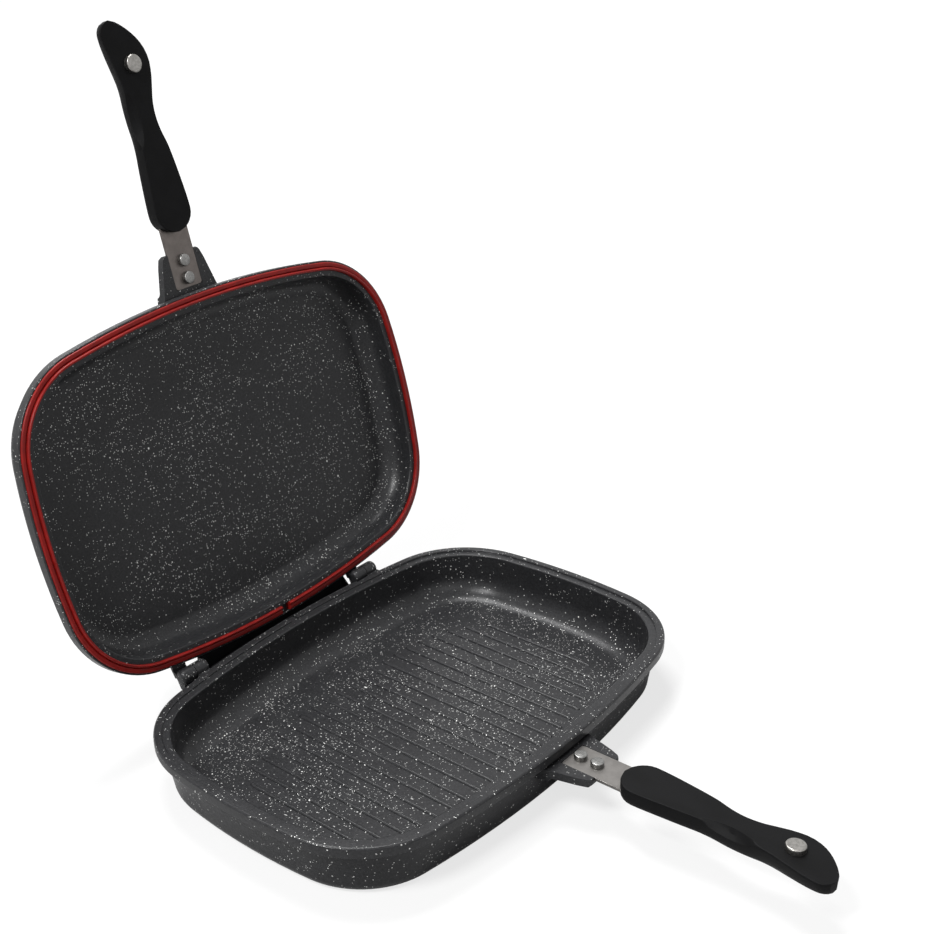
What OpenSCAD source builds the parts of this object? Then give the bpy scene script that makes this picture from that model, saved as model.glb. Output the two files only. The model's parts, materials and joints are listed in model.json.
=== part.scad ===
// Double-sided flip pan: a ribbed lower pan and a smooth upper pan that close face to face on a
// rear hinge. Each half carries a steel strap, a moulded handle and a capped magnet near the tip.
// Origin: on the ground under the middle of the lower pan. +X runs along the hinge, +Y towards the
// hinge and -Y towards the handles. The upper pan stands open against its stop.

/* [Pan outline] */
// Length of the rim, along the hinge
pan_l = 360; // [320:1:420]
// Width of the rim, from handle side to hinge side
pan_w = 246; // [215:1:280]
// Radius of the bulged long sides
long_side_r = 740; // [500:5:1200]
// Radius of the bulged short sides
short_side_r = 440; // [300:5:800]
// Radius of the rim's corners
corner_r = 70; // [60:1:85]

/* [Lower pan] */
// Height of the lower pan, ground to rim
pan_h = 43; // [38:0.5:60]
// Height from the ground to the cooking floor, which is the thickness of the base
base_t = 6.8; // [4:0.2:9]
// Height of the overhanging rim band
band_h = 7.5; // [5:0.5:10]
// How far the wall steps in below the rim band
band_step = 5.5; // [4:0.1:6.5]
// Width of the raised outer land on the rim
land_w = 5.6; // [4:0.1:7]
// How far the inner ledge lies below the land
ledge_drop = 1.5; // [1:0.1:2.5]
// Width of the whole rim, land and ledge
rim_w = 10.1; // [9:0.1:13]
// Slope of the inside wall
wall_draft = 7; // [3:0.5:9]
// Radius of the cove between wall and floor
cove_r = 18; // [10:0.5:21]
// Radius of the outside bottom edge
foot_r = 9; // [5:0.5:12]

/* [Grill ribs] */
// Number of ribs
rib_count = 21; // [11:2:25]
// Distance between ribs
rib_pitch = 12.6; // [10:0.1:13]
// Height of a rib above the floor
rib_h = 1.2; // [0.8:0.1:2]
// Width of a rib at the floor
rib_w = 3.2; // [2.4:0.1:4.5]
// Distance from the rim edge to the tips of the middle ribs, before the shift
rib_tip_gap = 46; // [43:1:60]
// Distance from the rim edge, at the pan's ends, to where the rib field closes
rib_end_gap = 44; // [42:1:50]
// How far the rib field is set towards the handle
rib_shift = 8; // [0:1:10]

/* [Upper pan] */
// Height of the upper pan, rim to back
lid_h = 27; // [22:0.5:40]
// Thickness of the upper pan's back
lid_t = 4.5; // [3:0.1:6]
// Height of the upper pan's rim band
lid_band_h = 8; // [6:0.5:9]
// How far the upper pan's edge lies inside the lower pan's edge
lid_inset = 1.2; // [0.8:0.1:1.6]
// Gap between the two rims when the pan is closed
closed_gap = 1.4; // [0.8:0.1:2]
// Radius of the upper pan's cove
lid_cove_r = 14; // [8:0.5:16]
// Angle from closed to the open stop
open_angle = 104.6; // [92:0.1:110]

/* [Gasket] */
// Distance from the lower rim's edge to the gasket groove
groove_d = 2.5; // [2:0.1:3]
// Width of the gasket groove
groove_w = 6.2; // [5.6:0.1:7]
// Depth of the gasket groove
groove_depth = 3.4; // [2.5:0.1:4]
// Gap in the gasket at the middle of the hinge side
gasket_gap = 8; // [4:0.5:16]

/* [Hinge] */
// Distance from the pan's middle to the hinge axis, past the rim edge
hinge_out = 0.7; // [0.5:0.1:2]
// Height of the hinge axis above the lower rim
hinge_up = 0.4; // [0:0.1:1.2]
// Radius of the hinge barrels
barrel_r = 5.5; // [5:0.1:6]
// Radius of the hinge pins
pin_r = 2.5; // [2:0.1:3]
// Width of a pan lug along the hinge
lug_w = 12; // [10:0.5:14]
// Width of a lid knuckle along the hinge
knuckle_w = 11.5; // [10:0.5:14]
// Where the left lug meets its knuckle, from the middle
left_joint_x = -95; // [-100:0.5:-92]
// Where the right lug meets its knuckle, from the middle
right_joint_x = 81.5; // [80:0.5:92]

/* [Drip tray] */
// Length of the tray, end to end along the rim
tray_l = 148; // [110:1:149]
// How far the tray's middle lies to the left of the pan's middle
tray_shift = 6; // [4:0.5:7]
// Width of the tray, front to back
tray_w = 14; // [12:0.5:18]
// Depth of the tray at its front wall
tray_depth = 13; // [11:0.5:16]
// How far the tray's back wall lies below its front wall
tray_back_drop = 4.5; // [3:0.5:6]
// Wall thickness of the tray
tray_t = 1.6; // [1.2:0.1:2.5]
// Distance of each locating peg from the middle
peg_x = 40; // [25:1:50]
// Radius of the locating pegs
peg_r = 2.5; // [2:0.1:3]

/* [Straps and rivets] */
// Width of the steel straps
strap_w = 23.5; // [18:0.5:28]
// Thickness of the steel straps
strap_t = 2; // [1.5:0.1:3]
// Distance from the middle plane between the pans to each strap
strap_drop = 10; // [9:0.1:12]
// How far the bracket reaches past the rim
bracket_l = 27; // [24:0.5:36]
// Width of the bracket's rail beside the strap
bracket_rail = 4.75; // [3.5:0.25:8]
// Width of the bracket where it meets the pan
bracket_root_w = 52; // [44:0.5:62]
// Thickness of the bracket under the strap
bracket_t = 3.3; // [3:0.1:6]
// Distance from the rim to the first rivet
rivet_y = 8.6; // [8:0.1:11]
// Distance between the two rivets
rivet_pitch = 12.3; // [10:0.1:14]
// Radius of the rivet heads
rivet_head_r = 4.3; // [3.6:0.1:5]
// Radius of the rivet shanks
rivet_r = 2.6; // [2:0.1:3]

/* [Handles] */
// Gap between the rim and the handle's inner end
handle_gap = 40.5; // [36:0.5:60]
// Length of the strap inside the handle
strap_in_handle = 40; // [34:0.5:46]
// Length of a handle
handle_l = 142; // [125:0.5:170]
// Depth of a handle
handle_depth = 17.5; // [16.5:0.5:22]
// Distance from the middle plane to a handle's flat face
face_drop = 5; // [4:0.1:6]
// Radius of the magnet caps
cap_r = 6; // [5:0.1:8]
// Distance from the middle plane to a magnet cap
cap_drop = 1.2; // [0.5:0.1:2]
// Distance from the handle's tip to the magnet
magnet_end = 29.5; // [24:0.5:44]
// Distance from the handle's inner end to its screw
screw_s = 24; // [18:0.5:32]

/* [Hidden] */

cast_color = [0.29, 0.29, 0.30];
tray_color = [0.10, 0.10, 0.11];
steel_color = [0.72, 0.70, 0.67];
rivet_color = [0.78, 0.77, 0.75];
grip_color = [0.14, 0.14, 0.15];
gasket_color = [0.55, 0.09, 0.07];
magnet_color = [0.45, 0.45, 0.47];

sweep_fn = 180;                         // steps in a full turn of a rim sweep
round_fn = 48;
soft_fn = 32;
seat_gap = 0.1;                         // clearance between pieces of one body
run_gap = 0.05;                         // radial clearance of a turning or sliding fit
part_gap = 0.5;                         // side clearance between pieces that pass each other
touch_gap = 0.3;                        // clearance of the gasket and the stop
over = 1;                               // how far a cut runs past the face that it opens

// ---------------------------------------------------------------- outline of the rim
// Eight tangent arcs: two long sides, two short sides and four corners. Each piece of the pan
// is one cross-section turned about the centre of each arc in turn.
function rounded(v, step) = round(v / step) * step;

// Where circles of radius ra about [0, a] and rb about [b, 0] cross, on the outer side
function crossing(a, ra, b, rb) =
    let (d = norm([a, b]), t = (d * d + ra * ra - rb * rb) / (2 * d),
         h = sqrt(max(ra * ra - t * t, 0)))
    [t * b - h * a, a * d - t * a - h * b] / d;

long_r = rounded(long_side_r, 0.01);
short_r = rounded(short_side_r, 0.01);
turn_r = rounded(corner_r, 0.01);

// The corner's centre for the wanted length and width, and the directions in which the side
// arcs meet it. The directions are rounded, and the centres follow from them, so that
// neighbouring arcs share one end face exactly.
wanted_c = crossing(pan_w / 2 - long_r, long_r - turn_r, pan_l / 2 - short_r, short_r - turn_r);
corner_from = rounded(asin(wanted_c[1] / (short_r - turn_r)), 0.001);
corner_to = rounded(acos(wanted_c[0] / (long_r - turn_r)), 0.001);
corner_c = [(long_r - turn_r) * cos(corner_to), (short_r - turn_r) * sin(corner_from)];
long_c = corner_c[1] - (long_r - turn_r) * sin(corner_to);
short_c = corner_c[0] - (short_r - turn_r) * cos(corner_from);
half_w = long_c + long_r;

mid_z = pan_h + closed_gap / 2;          // plane midway between the two rims when closed
hinge_y = half_w + hinge_out;
hinge_z = pan_h + hinge_up;
relief_r = barrel_r + 0.8;               // recess that clears the other half's barrel
rim_edge_r = 1.6;                        // rounding of the lower rim's outer edge
rim_lip_r = 1.2;                         // rounding between ledge and wall
lid_lip_r = 1;                           // the same on the upper pan
lid_rim_extra = 0.6;                     // how much wider the upper pan's rim is
bracket_y = -half_w;                     // rim edge on the handle side

// Moves by v in two steps, a round one and the small remainder, so that no digit is lost
module place(v) {
    coarse = [rounded(v[0], 0.001), rounded(v[1], 0.001), 0];
    translate(coarse) translate([v[0], v[1], 0] - coarse) children();
}

// Turns a cross-section, drawn as [distance in from the rim edge, height], along one arc
module arc_sweep(centre, r, from, to) {
    place(centre) rotate_extrude(angle = to - from, start = from, $fn = sweep_fn)
        translate([r, 0]) mirror([1, 0]) children();
}

// The two long sides, the two short sides and the four corners
module rim_sweep() {
    for (side = [0, 1]) mirror([0, side, 0])
        arc_sweep([0, long_c], long_r, corner_to, 180 - corner_to) children();
    for (side = [0, 1]) mirror([side, 0, 0])
        arc_sweep([short_c, 0], short_r, -corner_from, corner_from) children();
    for (sx = [0, 1], sy = [0, 1]) mirror([sx, 0, 0]) mirror([0, sy, 0])
        arc_sweep(corner_c, turn_r, corner_from, corner_to) children();
}

// The area left inside the sweep, bounded by the four side arcs
module heart_plate(h) {
    linear_extrude(h) intersection() {
        place([0, long_c]) circle(long_r - turn_r, $fn = sweep_fn);
        place([0, -long_c]) circle(long_r - turn_r, $fn = sweep_fn);
        place([short_c, 0]) circle(short_r - turn_r, $fn = sweep_fn);
        place([-short_c, 0]) circle(short_r - turn_r, $fn = sweep_fn);
    }
}

// Points of an arc about c, from angle a to angle b
function arc(c, r, a, b, n = 6) =
    [for (i = [0:n]) c + r * [cos(a + (b - a) * i / n), sin(a + (b - a) * i / n)]];

// Distance in from the rim edge, on the hinge or handle side, at a given x
function side_sag(x) = long_r - sqrt(long_r * long_r - x * x);

// ---------------------------------------------------------------- cross-sections
// Outside of a pan: rim band, step, sloping wall and rounded bottom edge. The rim is at z = 0
// and the pan hangs below it. d0 is the rim edge.
function outside(d0, band, step, low, foot, edge) =
    let (wall_x = d0 + step, slope = 0.16,
         foot_x = wall_x + (low - band - foot) * slope)
    concat(
        arc([d0 + edge, -edge], edge, 90, 180, 5),
        arc([d0 + 1, -band + 1], 1, 180, 270, 3),
        [[wall_x, -band], [foot_x, -low + foot]],
        arc([foot_x + foot, -low + foot], foot, 180, 270, 8)
    );

// Inside of a pan from the middle of the floor out to the rim, with a cove at the foot
function inside(d1, floor, cove, draft, lip) =
    let (cove_x = d1 + lip + (floor - cove - lip) * tan(draft) + cove * cos(draft),
         bottom = -floor + cove)
    concat(
        arc([cove_x, bottom], cove, 270, 180 - draft, 10),
        arc([d1 + lip * cos(draft), -lip], lip, -draft, 90, 4)
    );

// ---------------------------------------------------------------- lower pan
module lower_pan_section() {
    translate([0, pan_h]) polygon(concat(
        outside(0, band_h, band_step, pan_h, foot_r, rim_edge_r),
        [[turn_r, -pan_h], [turn_r, -pan_h + base_t]],
        [for (p = inside(rim_w - rim_lip_r, pan_h - base_t - ledge_drop, cove_r, wall_draft,
                         rim_lip_r))
            [p[0], p[1] - ledge_drop]],
        [[land_w + 0.15, -ledge_drop], [land_w, -ledge_drop + 0.15], [land_w, -0.5],
         [land_w - 0.5, 0]]
    ));
}

// Half length of the rib that lies at x: the rib field has a rounded outline
rib_field = [pan_l / 2 - rib_end_gap, pan_w / 2 - rib_tip_gap];
rib_field_power = 3.2;                   // squareness of its outline
function rib_half(x) =
    rib_field[1] * pow(1 - pow(abs(x) / rib_field[0], rib_field_power), 1 / rib_field_power);

// A rounded rib lying in the floor, with tapered ends
module rib(half) {
    r = (rib_w * rib_w / 4 + rib_h * rib_h) / (2 * rib_h);
    sink = r - rib_h;
    end = 4;
    translate([0, half, base_t - sink]) rotate([90, 0, 0])
        rotate_extrude($fn = soft_fn) polygon([
            [0, 0.4], [sink, 0.4], [r - rib_h * 0.35, end * 0.35], [r, end],
            [r, 2 * half - end], [r - rib_h * 0.35, 2 * half - end * 0.35],
            [sink, 2 * half - 0.4], [0, 2 * half - 0.4]
        ]);
}

module grill_ribs() {
    first = -(rib_count - 1) / 2;
    for (i = [0 : rib_count - 1]) {
        x = (first + i) * rib_pitch;
        translate([x, -rib_shift, 0]) rib(rib_half(x));
    }
}

// ---------------------------------------------------------------- brackets
strap_top = mid_z - strap_drop;          // strap face that looks at the other half
strap_rim_gap = 2.2;
strap_in_y = bracket_y - strap_rim_gap;  // strap end next to the rim
bracket_w = strap_w + 2 * bracket_rail;  // width of the bracket's end
bracket_flare = 2.2;                     // how far it widens behind the end, on each side
bracket_corner = 2;                      // length of its cut corners
bracket_chamfer = 1.6;                   // chamfer under its end
bracket_top = strap_top + 0.2;           // the rails stand a little above the strap
bracket_low = strap_top - strap_t - bracket_t;
gusset_r = 2.8;                          // fillet under the bracket, next to the pan
gusset_low = bracket_low - gusset_r;
strap_end_y = bracket_y - handle_gap - strap_in_handle;
strap_corner_r = 2;

// Tapered tongue with a channel for the strap and two side ribs
module bracket() {
    root_y = bracket_y + band_step + 3;
    end_y = bracket_y - bracket_l;
    difference() {
        intersection() {
            translate([0, 0, gusset_low]) linear_extrude(bracket_top - gusset_low) polygon([
                [-bracket_root_w / 2, root_y],
                [-bracket_w / 2 - bracket_flare, end_y + 4 * bracket_corner],
                [-bracket_w / 2, end_y + bracket_corner],
                [-bracket_w / 2 + bracket_corner, end_y], [bracket_w / 2 - bracket_corner, end_y],
                [bracket_w / 2, end_y + bracket_corner],
                [bracket_w / 2 + bracket_flare, end_y + 4 * bracket_corner],
                [bracket_root_w / 2, root_y]
            ]);
            // the underside is deeper at the pan and chamfered at the end
            rotate([90, 0, 90]) translate([0, 0, -bracket_root_w]) linear_extrude(2 * bracket_root_w)
                polygon(concat(
                    [[root_y + 1, bracket_top + 1], [root_y + 1, gusset_low]],
                    arc([bracket_y - rivet_y + rivet_head_r + 0.7, gusset_low], gusset_r, 0, 90, 5),
                    [[end_y + bracket_chamfer, bracket_low], [end_y, bracket_low + bracket_chamfer],
                     [end_y, bracket_top - 1], [end_y + 1, bracket_top + 1]]
                ));
        }
        translate([-strap_w / 2 - seat_gap, end_y - 1, strap_top - strap_t])
            cube([strap_w + 2 * seat_gap, strap_in_y + seat_gap - end_y + 1, 10]);
        for (i = [0, 1]) translate([0, bracket_y - rivet_y - i * rivet_pitch, bracket_low - 1])
            cylinder(r = rivet_r + seat_gap, h = 20, $fn = round_fn);
    }
}

// ---------------------------------------------------------------- hinge
// Side view of a barrel's arm; its root lies at arm_y, between two heights
module arm_side(arm_y, arm_low, arm_high) {
    polygon([[arm_y, arm_low], [0.6 - barrel_r, arm_low], [0, min(max(arm_low, 0.4 - barrel_r), 0)],
             [0, min(arm_high, barrel_r - 0.4)], [arm_y, arm_high]]);
}

// Barrel about the hinge axis from joint_x outwards, with a rounded outer end
barrel_round = 3;
module barrel(joint_x, w, side) {
    translate([joint_x, hinge_y, hinge_z]) rotate([0, side * 90, 0]) rotate_extrude($fn = round_fn)
        polygon(concat(
            [[0, 0], [barrel_r, 0]],
            arc([barrel_r - barrel_round, w - barrel_round], barrel_round, 0, 90, 6),
            [[0, w]]
        ));
}

// A slice of the hinge between x0 and x1, drawn in side view about the hinge axis
module hinge_slice(x0, x1) {
    translate([x0, hinge_y, hinge_z]) rotate([90, 0, 90]) linear_extrude(x1 - x0) children();
}

module pin_hole(x0, x1, r) {
    translate([x0, hinge_y, hinge_z]) rotate([0, 90, 0]) cylinder(r = r, h = x1 - x0, $fn = round_fn);
}

pin_wall = 3;                            // closed end beyond each pin
pin_in_lug = lug_w - pin_wall;
pin_in_knuckle = knuckle_w - pin_wall;
pin_room = 0.6;                          // play at the pin's end in the knuckle
pin_chamfer = 0.8;
knuckle_room = 1.2;                      // room beside a barrel in the other half's recess

// Lug of the lower pan, to the right of the joint line, with a blind hole for its pin
module pan_lug(joint_x) {
    x0 = joint_x + part_gap / 2;
    difference() {
        union() {
            barrel(x0, lug_w, 1);
            hinge_slice(x0, x0 + lug_w - 1)
                arm_side(-hinge_out - side_sag(joint_x) - 4, -hinge_up - band_h + 0.8, -hinge_up);
        }
        pin_hole(x0 - over, x0 + pin_in_lug, pin_r);
    }
}

// Pad on the rim band that stops the knuckle's heel
stop_y = half_w - side_sag(right_joint_x - part_gap / 2 - knuckle_w) + 0.4;
stop_top = pan_h - 4;
module stop_pad(joint_x) {
    translate([joint_x - part_gap / 2 - knuckle_w + 2, stop_y - 6, pan_h - band_h + 0.5])
        cube([knuckle_w - 4, 6, stop_top - pan_h + band_h - 0.5]);
}

module hinge_pin(joint_x) {
    pin_l = pin_in_lug + part_gap + pin_in_knuckle;
    translate([joint_x + part_gap / 2 + pin_in_lug, hinge_y, hinge_z]) rotate([0, -90, 0])
        rotate_extrude($fn = round_fn) polygon([
            [0, 0], [pin_r, 0], [pin_r, pin_l - pin_chamfer], [pin_r - pin_chamfer, pin_l],
            [0, pin_l]
        ]);
}

// Knuckle of the upper pan, to the left of the joint line, drawn with the pan closed
module lid_knuckle(joint_x) {
    x1 = joint_x - part_gap / 2;
    difference() {
        union() {
            barrel(x1, knuckle_w, -1);
            hinge_slice(x1 - knuckle_w, x1)
                arm_side(-hinge_out - side_sag(joint_x) - 5,
                         closed_gap + groove_depth + 0.6 - hinge_up,
                         closed_gap + lid_band_h - 0.4 - hinge_up);
        }
        pin_hole(x1 - pin_in_knuckle - pin_room, x1 + over, pin_r + run_gap);
    }
}

// Heel below each knuckle that meets the stop pad when the upper pan is open
module heel(joint_x) {
    x1 = joint_x - part_gap / 2;
    face = stop_y + touch_gap - hinge_y;
    top = stop_top - hinge_z;
    difference() {
        hinge_slice(x1 - knuckle_w + 1, x1 - 1)
            polygon([[face, top], [face, top - 3.4], [face + 1.2, top - 4.6], [1, top - 4.6],
                     [barrel_r - 0.8, -1.5], [0, 0]]);
        pin_hole(x1 - knuckle_w, x1 + 1, barrel_r - 1);
    }
}

// Places a closed upper half in its open position
module opened() {
    translate([0, hinge_y, hinge_z]) rotate([-open_angle, 0, 0]) translate([0, -hinge_y, -hinge_z])
        children();
}

// Turns something modelled for the lower half face down over the middle plane
module faced_down() {
    translate([0, 0, 2 * mid_z]) mirror([0, 0, 1]) children();
}

// ---------------------------------------------------------------- locating pegs and drip tray
drain_w = 7;
tray_in = 0.8;                           // gap between rim edge and tray
tray_front_r = 3;                        // outside rounding of the trough, next to the pan
tray_back_r = 5;
tray_front = pan_h - ledge_drop - 0.6;   // top of the tray's front wall
tray_back = tray_front - tray_back_drop;
tray_low = tray_front - tray_depth;
socket_r = peg_r + 1.8;
peg_z = tray_low + tray_t - 0.3 - socket_r;
peg_tip_y = half_w + 10.5;

module peg(x) {
    root_y = half_w - side_sag(x) - band_step - 4;
    translate([x, root_y, peg_z]) rotate([-90, 0, 0]) rotate_extrude($fn = round_fn) polygon([
        [0, 0], [peg_r + 1.4, 0], [peg_r + 1.4, half_w - side_sag(x) - 1.2 - root_y],
        [peg_r, half_w - side_sag(x) - 0.6 - root_y], [peg_r, peg_tip_y - 0.8 - root_y],
        [peg_r - 0.8, peg_tip_y - root_y], [0, peg_tip_y - root_y]
    ]);
}

// Cross-section of the trough, or of its end; distances run in from the rim edge
module tray_section(end = false) {
    x0 = -tray_in;
    x1 = -tray_in - tray_w;
    front_c = [x0 - tray_front_r, tray_low + tray_front_r];
    back_c = [x1 + tray_back_r, tray_low + tray_back_r];
    outer = concat([[x0, tray_front], [x0, front_c[1]]], arc(front_c, tray_front_r, 0, -90, 3),
                   arc(back_c, tray_back_r, 270, 180, 4), [[x1, tray_back], [x1 + tray_t, tray_back]]);
    inner = concat(arc(back_c, tray_back_r - tray_t, 180, 270, 4),
                   arc(front_c, tray_front_r - tray_t, -90, 0, 3), [[x0 - tray_t, tray_front]]);
    if (end) polygon(concat(outer, [[x0 - tray_t - 2, tray_back], [x0 - tray_t, tray_front]]));
    else polygon(concat(outer, inner));
}

// Direction from the long side's centre to a point of the rim at x, in degrees
function rim_angle(x) = acos(x / long_r);

module drip_tray() color(tray_color) {
    from = rim_angle(tray_l / 2 - tray_shift);
    to = rim_angle(-tray_l / 2 - tray_shift);
    cheek = asin(tray_t / long_r);
    difference() {
        union() {
            arc_sweep([0, long_c], long_r, from, to) tray_section();
            for (start = [from, to - cheek])
                arc_sweep([0, long_c], long_r, start, start + cheek) tray_section(true);
            for (side = [-1, 1])
                translate([side * peg_x, half_w - side_sag(peg_x) + tray_in, peg_z])
                    rotate([-90, 0, 0]) cylinder(r = socket_r, h = tray_w - 1, $fn = round_fn);
        }
        for (side = [-1, 1]) translate([side * peg_x, half_w - 10, peg_z]) rotate([-90, 0, 0])
            cylinder(r = peg_r + run_gap, h = peg_tip_y + 0.6 - half_w + 10, $fn = round_fn);
    }
}

// ---------------------------------------------------------------- the two pans
module lower_pan() color(cast_color) {
    difference() {
        union() {
            rim_sweep() lower_pan_section();
            heart_plate(base_t);
            grill_ribs();
            bracket();
            for (x = [left_joint_x, right_joint_x]) pan_lug(x);
            for (side = [-1, 1]) peg(side * peg_x);
            for (x = [left_joint_x, right_joint_x]) stop_pad(x);
        }
        // drain channel across the land, above the tray
        translate([-drain_w / 2, half_w - land_w - 1, pan_h - ledge_drop])
            cube([drain_w, land_w + 2, 2 * ledge_drop]);
        // room for the upper pan's knuckles
        for (x = [left_joint_x, right_joint_x])
            pin_hole(x - knuckle_w - knuckle_room, x + part_gap / 2, relief_r);
    }
}

lid_z = pan_h + closed_gap;              // rim plane of the closed upper pan
module upper_pan_section() {
    polygon(concat(
        outside(lid_inset, lid_band_h, band_step, lid_h, foot_r, groove_d - lid_inset - 0.3),
        [[turn_r, -lid_h], [turn_r, -lid_h + lid_t]],
        inside(rim_w + lid_rim_extra, lid_h - lid_t, lid_cove_r, wall_draft, lid_lip_r),
        [[groove_d + groove_w, 0], [groove_d + groove_w, -groove_depth],
         [groove_d, -groove_depth], [groove_d, -0.3]]
    ));
}

module upper_pan() color(cast_color) {
    opened() difference() {
        union() {
            translate([0, 0, lid_z]) mirror([0, 0, 1]) {
                rim_sweep() upper_pan_section();
                translate([0, 0, -lid_h]) heart_plate(lid_t);
            }
            faced_down() bracket();
            for (x = [left_joint_x, right_joint_x]) lid_knuckle(x);
        }
        for (x = [left_joint_x, right_joint_x])
            pin_hole(x - part_gap / 2, x + lug_w + knuckle_room, relief_r);
        for (x = [left_joint_x, right_joint_x])
            pin_hole(x - part_gap / 2 - pin_in_knuckle - pin_room, x, pin_r + run_gap);
    }
    for (x = [left_joint_x, right_joint_x]) heel(x);
}

// A wide outer bead and a narrow, taller inner bead, on a foot that fills the groove
outer_bead_w = 3.6;
inner_bead_w = 2;
module gasket_section() {
    from_d = groove_d + seat_gap;
    to_d = groove_d + groove_w - seat_gap;
    bead_r = 1.1;
    lip_r = inner_bead_w / 2;
    outer_top = closed_gap - touch_gap;
    inner_top = closed_gap + ledge_drop - touch_gap;
    polygon(concat(
        [[from_d, -groove_depth + seat_gap]],
        arc([from_d + bead_r, outer_top - bead_r], bead_r, 180, 90, 5),
        arc([from_d + outer_bead_w - bead_r, outer_top - bead_r], bead_r, 90, 0, 5),
        arc([to_d - lip_r, inner_top - lip_r], lip_r, 180, 0, 8),
        [[to_d, -groove_depth + seat_gap]]
    ));
}

module gasket() color(gasket_color)
    opened() difference() {
        translate([0, 0, lid_z]) mirror([0, 0, 1]) rim_sweep() gasket_section();
        translate([-gasket_gap / 2, half_w - groove_d - groove_w - 5, lid_z - 10])
            cube([gasket_gap, groove_w + 10, 20]);
    }

// ---------------------------------------------------------------- pieces of each handle
module strap() color(steel_color)
    difference() {
        translate([0, 0, strap_top - strap_t]) linear_extrude(strap_t) union() {
            translate([-strap_w / 2, strap_end_y])
                square([strap_w, strap_in_y - strap_end_y - strap_corner_r]);
            translate([-strap_w / 2 + strap_corner_r, strap_in_y - strap_corner_r - 1])
                square([strap_w - 2 * strap_corner_r, strap_corner_r + 1]);
            for (side = [-1, 1])
                translate([side * (strap_w / 2 - strap_corner_r), strap_in_y - strap_corner_r])
                    circle(strap_corner_r, $fn = soft_fn);
        }
        for (i = [0, 1]) translate([0, bracket_y - rivet_y - i * rivet_pitch, strap_top - strap_t - 1])
            cylinder(r = rivet_r + seat_gap, h = strap_t + 2, $fn = round_fn);
        translate([0, screw_y, strap_top - strap_t - 1])
            cylinder(r = screw_r + seat_gap, h = strap_t + 2, $fn = round_fn);
    }

rivet_head_h = 3.4;
rivet_tail_h = 2;
module rivet() {
    rotate_extrude($fn = round_fn) polygon(concat(
        [[0, bracket_low - rivet_tail_h]],
        arc([rivet_head_r - 1.8, bracket_low - rivet_tail_h + 1.2], 1.2, 270, 360, 3),
        [[rivet_head_r - 0.6, bracket_low], [rivet_r, bracket_low], [rivet_r, strap_top],
         [rivet_head_r, strap_top]],
        arc([rivet_head_r - 0.9, strap_top + rivet_head_h - 0.9], 0.9, 0, 80, 3),
        [[0, strap_top + rivet_head_h + 0.25]]
    ));
}

module rivets() color(rivet_color)
    for (i = [0, 1]) translate([0, bracket_y - rivet_y - i * rivet_pitch, 0]) rivet();

handle_y = bracket_y - handle_gap;
handle_face = mid_z - face_drop;
screw_y = handle_y - screw_s;
screw_r = 2.4;
magnet_y = handle_y - handle_l + magnet_end;
magnet_x = -2;
// Outline seen from above: [distance from the inner end as a share of the length, how far the left
// side and the right side lie beyond the strap's edges]. The right side has a waist, and both
// sides lean left towards the tip.
stations = [
    [0, 3.45, 3.05], [0.12, 3.65, 3.45], [0.26, 2.05, 1.75], [0.40, 0.25, -0.95],
    [0.475, 0.05, -3.75], [0.54, 0.25, -4.95], [0.61, 0.65, -4.15], [0.675, 1.25, -1.55],
    [0.73, 2.35, 0.65], [0.81, 5.15, 2.25], [0.89, 7.65, 1.45], [0.95, 8.55, -1.75],
    [1, 8.85, -6.25]
];
inner_end_r = 13.5;                      // rounding of the inner end, seen from above
tip_x = -12;                             // where the tip's outline closes
tip_r = [9, 34];                         // length of the tip's rounding, left and right side

// Smooth curve through column k of the stations
function between(u, k, i) =
    let (a = stations[max(i - 1, 0)], b = stations[i], c = stations[i + 1],
         d = stations[min(i + 2, len(stations) - 1)],
         w = c[0] - b[0], t = (u - b[0]) / w,
         mb = (c[k] - a[k]) / (c[0] - a[0]) * w, mc = (d[k] - b[k]) / (d[0] - b[0]) * w)
    (2 * t * t * t - 3 * t * t + 1) * b[k] + (t * t * t - 2 * t * t + t) * mb
    + (3 * t * t - 2 * t * t * t) * c[k] + (t * t * t - t * t) * mc;
function station_index(u, i = 0) =
    i >= len(stations) - 2 || u < stations[i + 1][0] ? i : station_index(u, i + 1);

// 1 in the body of the handle, falling to 0 on a quarter circle of length r at its end
function rounding(d, r) = d >= r ? 1 : sqrt(max(1 - (1 - d / r) * (1 - d / r), 0));

// Left (k = 1) or right (k = 2) edge of the outline at distance s from the inner end
function edge_x(s, k) =
    let (beyond = between(s / handle_l, k, station_index(s / handle_l)),
         x = (k == 1 ? -1 : 1) * (strap_w / 2 + beyond))
    s < handle_l / 2 ? x * rounding(s, inner_end_r)
    : tip_x + (x - tip_x) * rounding(handle_l - s, tip_r[k - 1]);

scoop_s = handle_l * 0.54;               // middle of the finger scoop in the left side
scoop_half = handle_l * 0.135;
scoop_depth = 4;
edge_break = 0.9;
function scoop(s) =
    let (t = (s - scoop_s) / scoop_half) abs(t) < 1 ? scoop_depth * (1 - t * t) : 0;

back_points = 14;
// Values at the inner end and towards the tip: height of the straight side wall, power of the
// rounded back's outline, and share of the full depth
side_wall = [7, 1.5];
back_power = [2.2, 1.8];
fullness = [0.85, 1];
end_thin = [0.7, 0.3];                   // share of the depth that is left at the very ends

// Passes from one value to the other along the middle of the handle
function along(s, pair) =
    let (t = min(max((s / handle_l - 0.28) / 0.34, 0), 1))
    pair[0] + (pair[1] - pair[0]) * t * t * (3 - 2 * t);
function depth_at(s) =
    handle_depth * along(s, fullness)
    * min(end_thin[0] + (1 - end_thin[0]) * rounding(s, inner_end_r),
          end_thin[1] + (1 - end_thin[1]) * rounding(handle_l - s, tip_r[1]));

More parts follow.
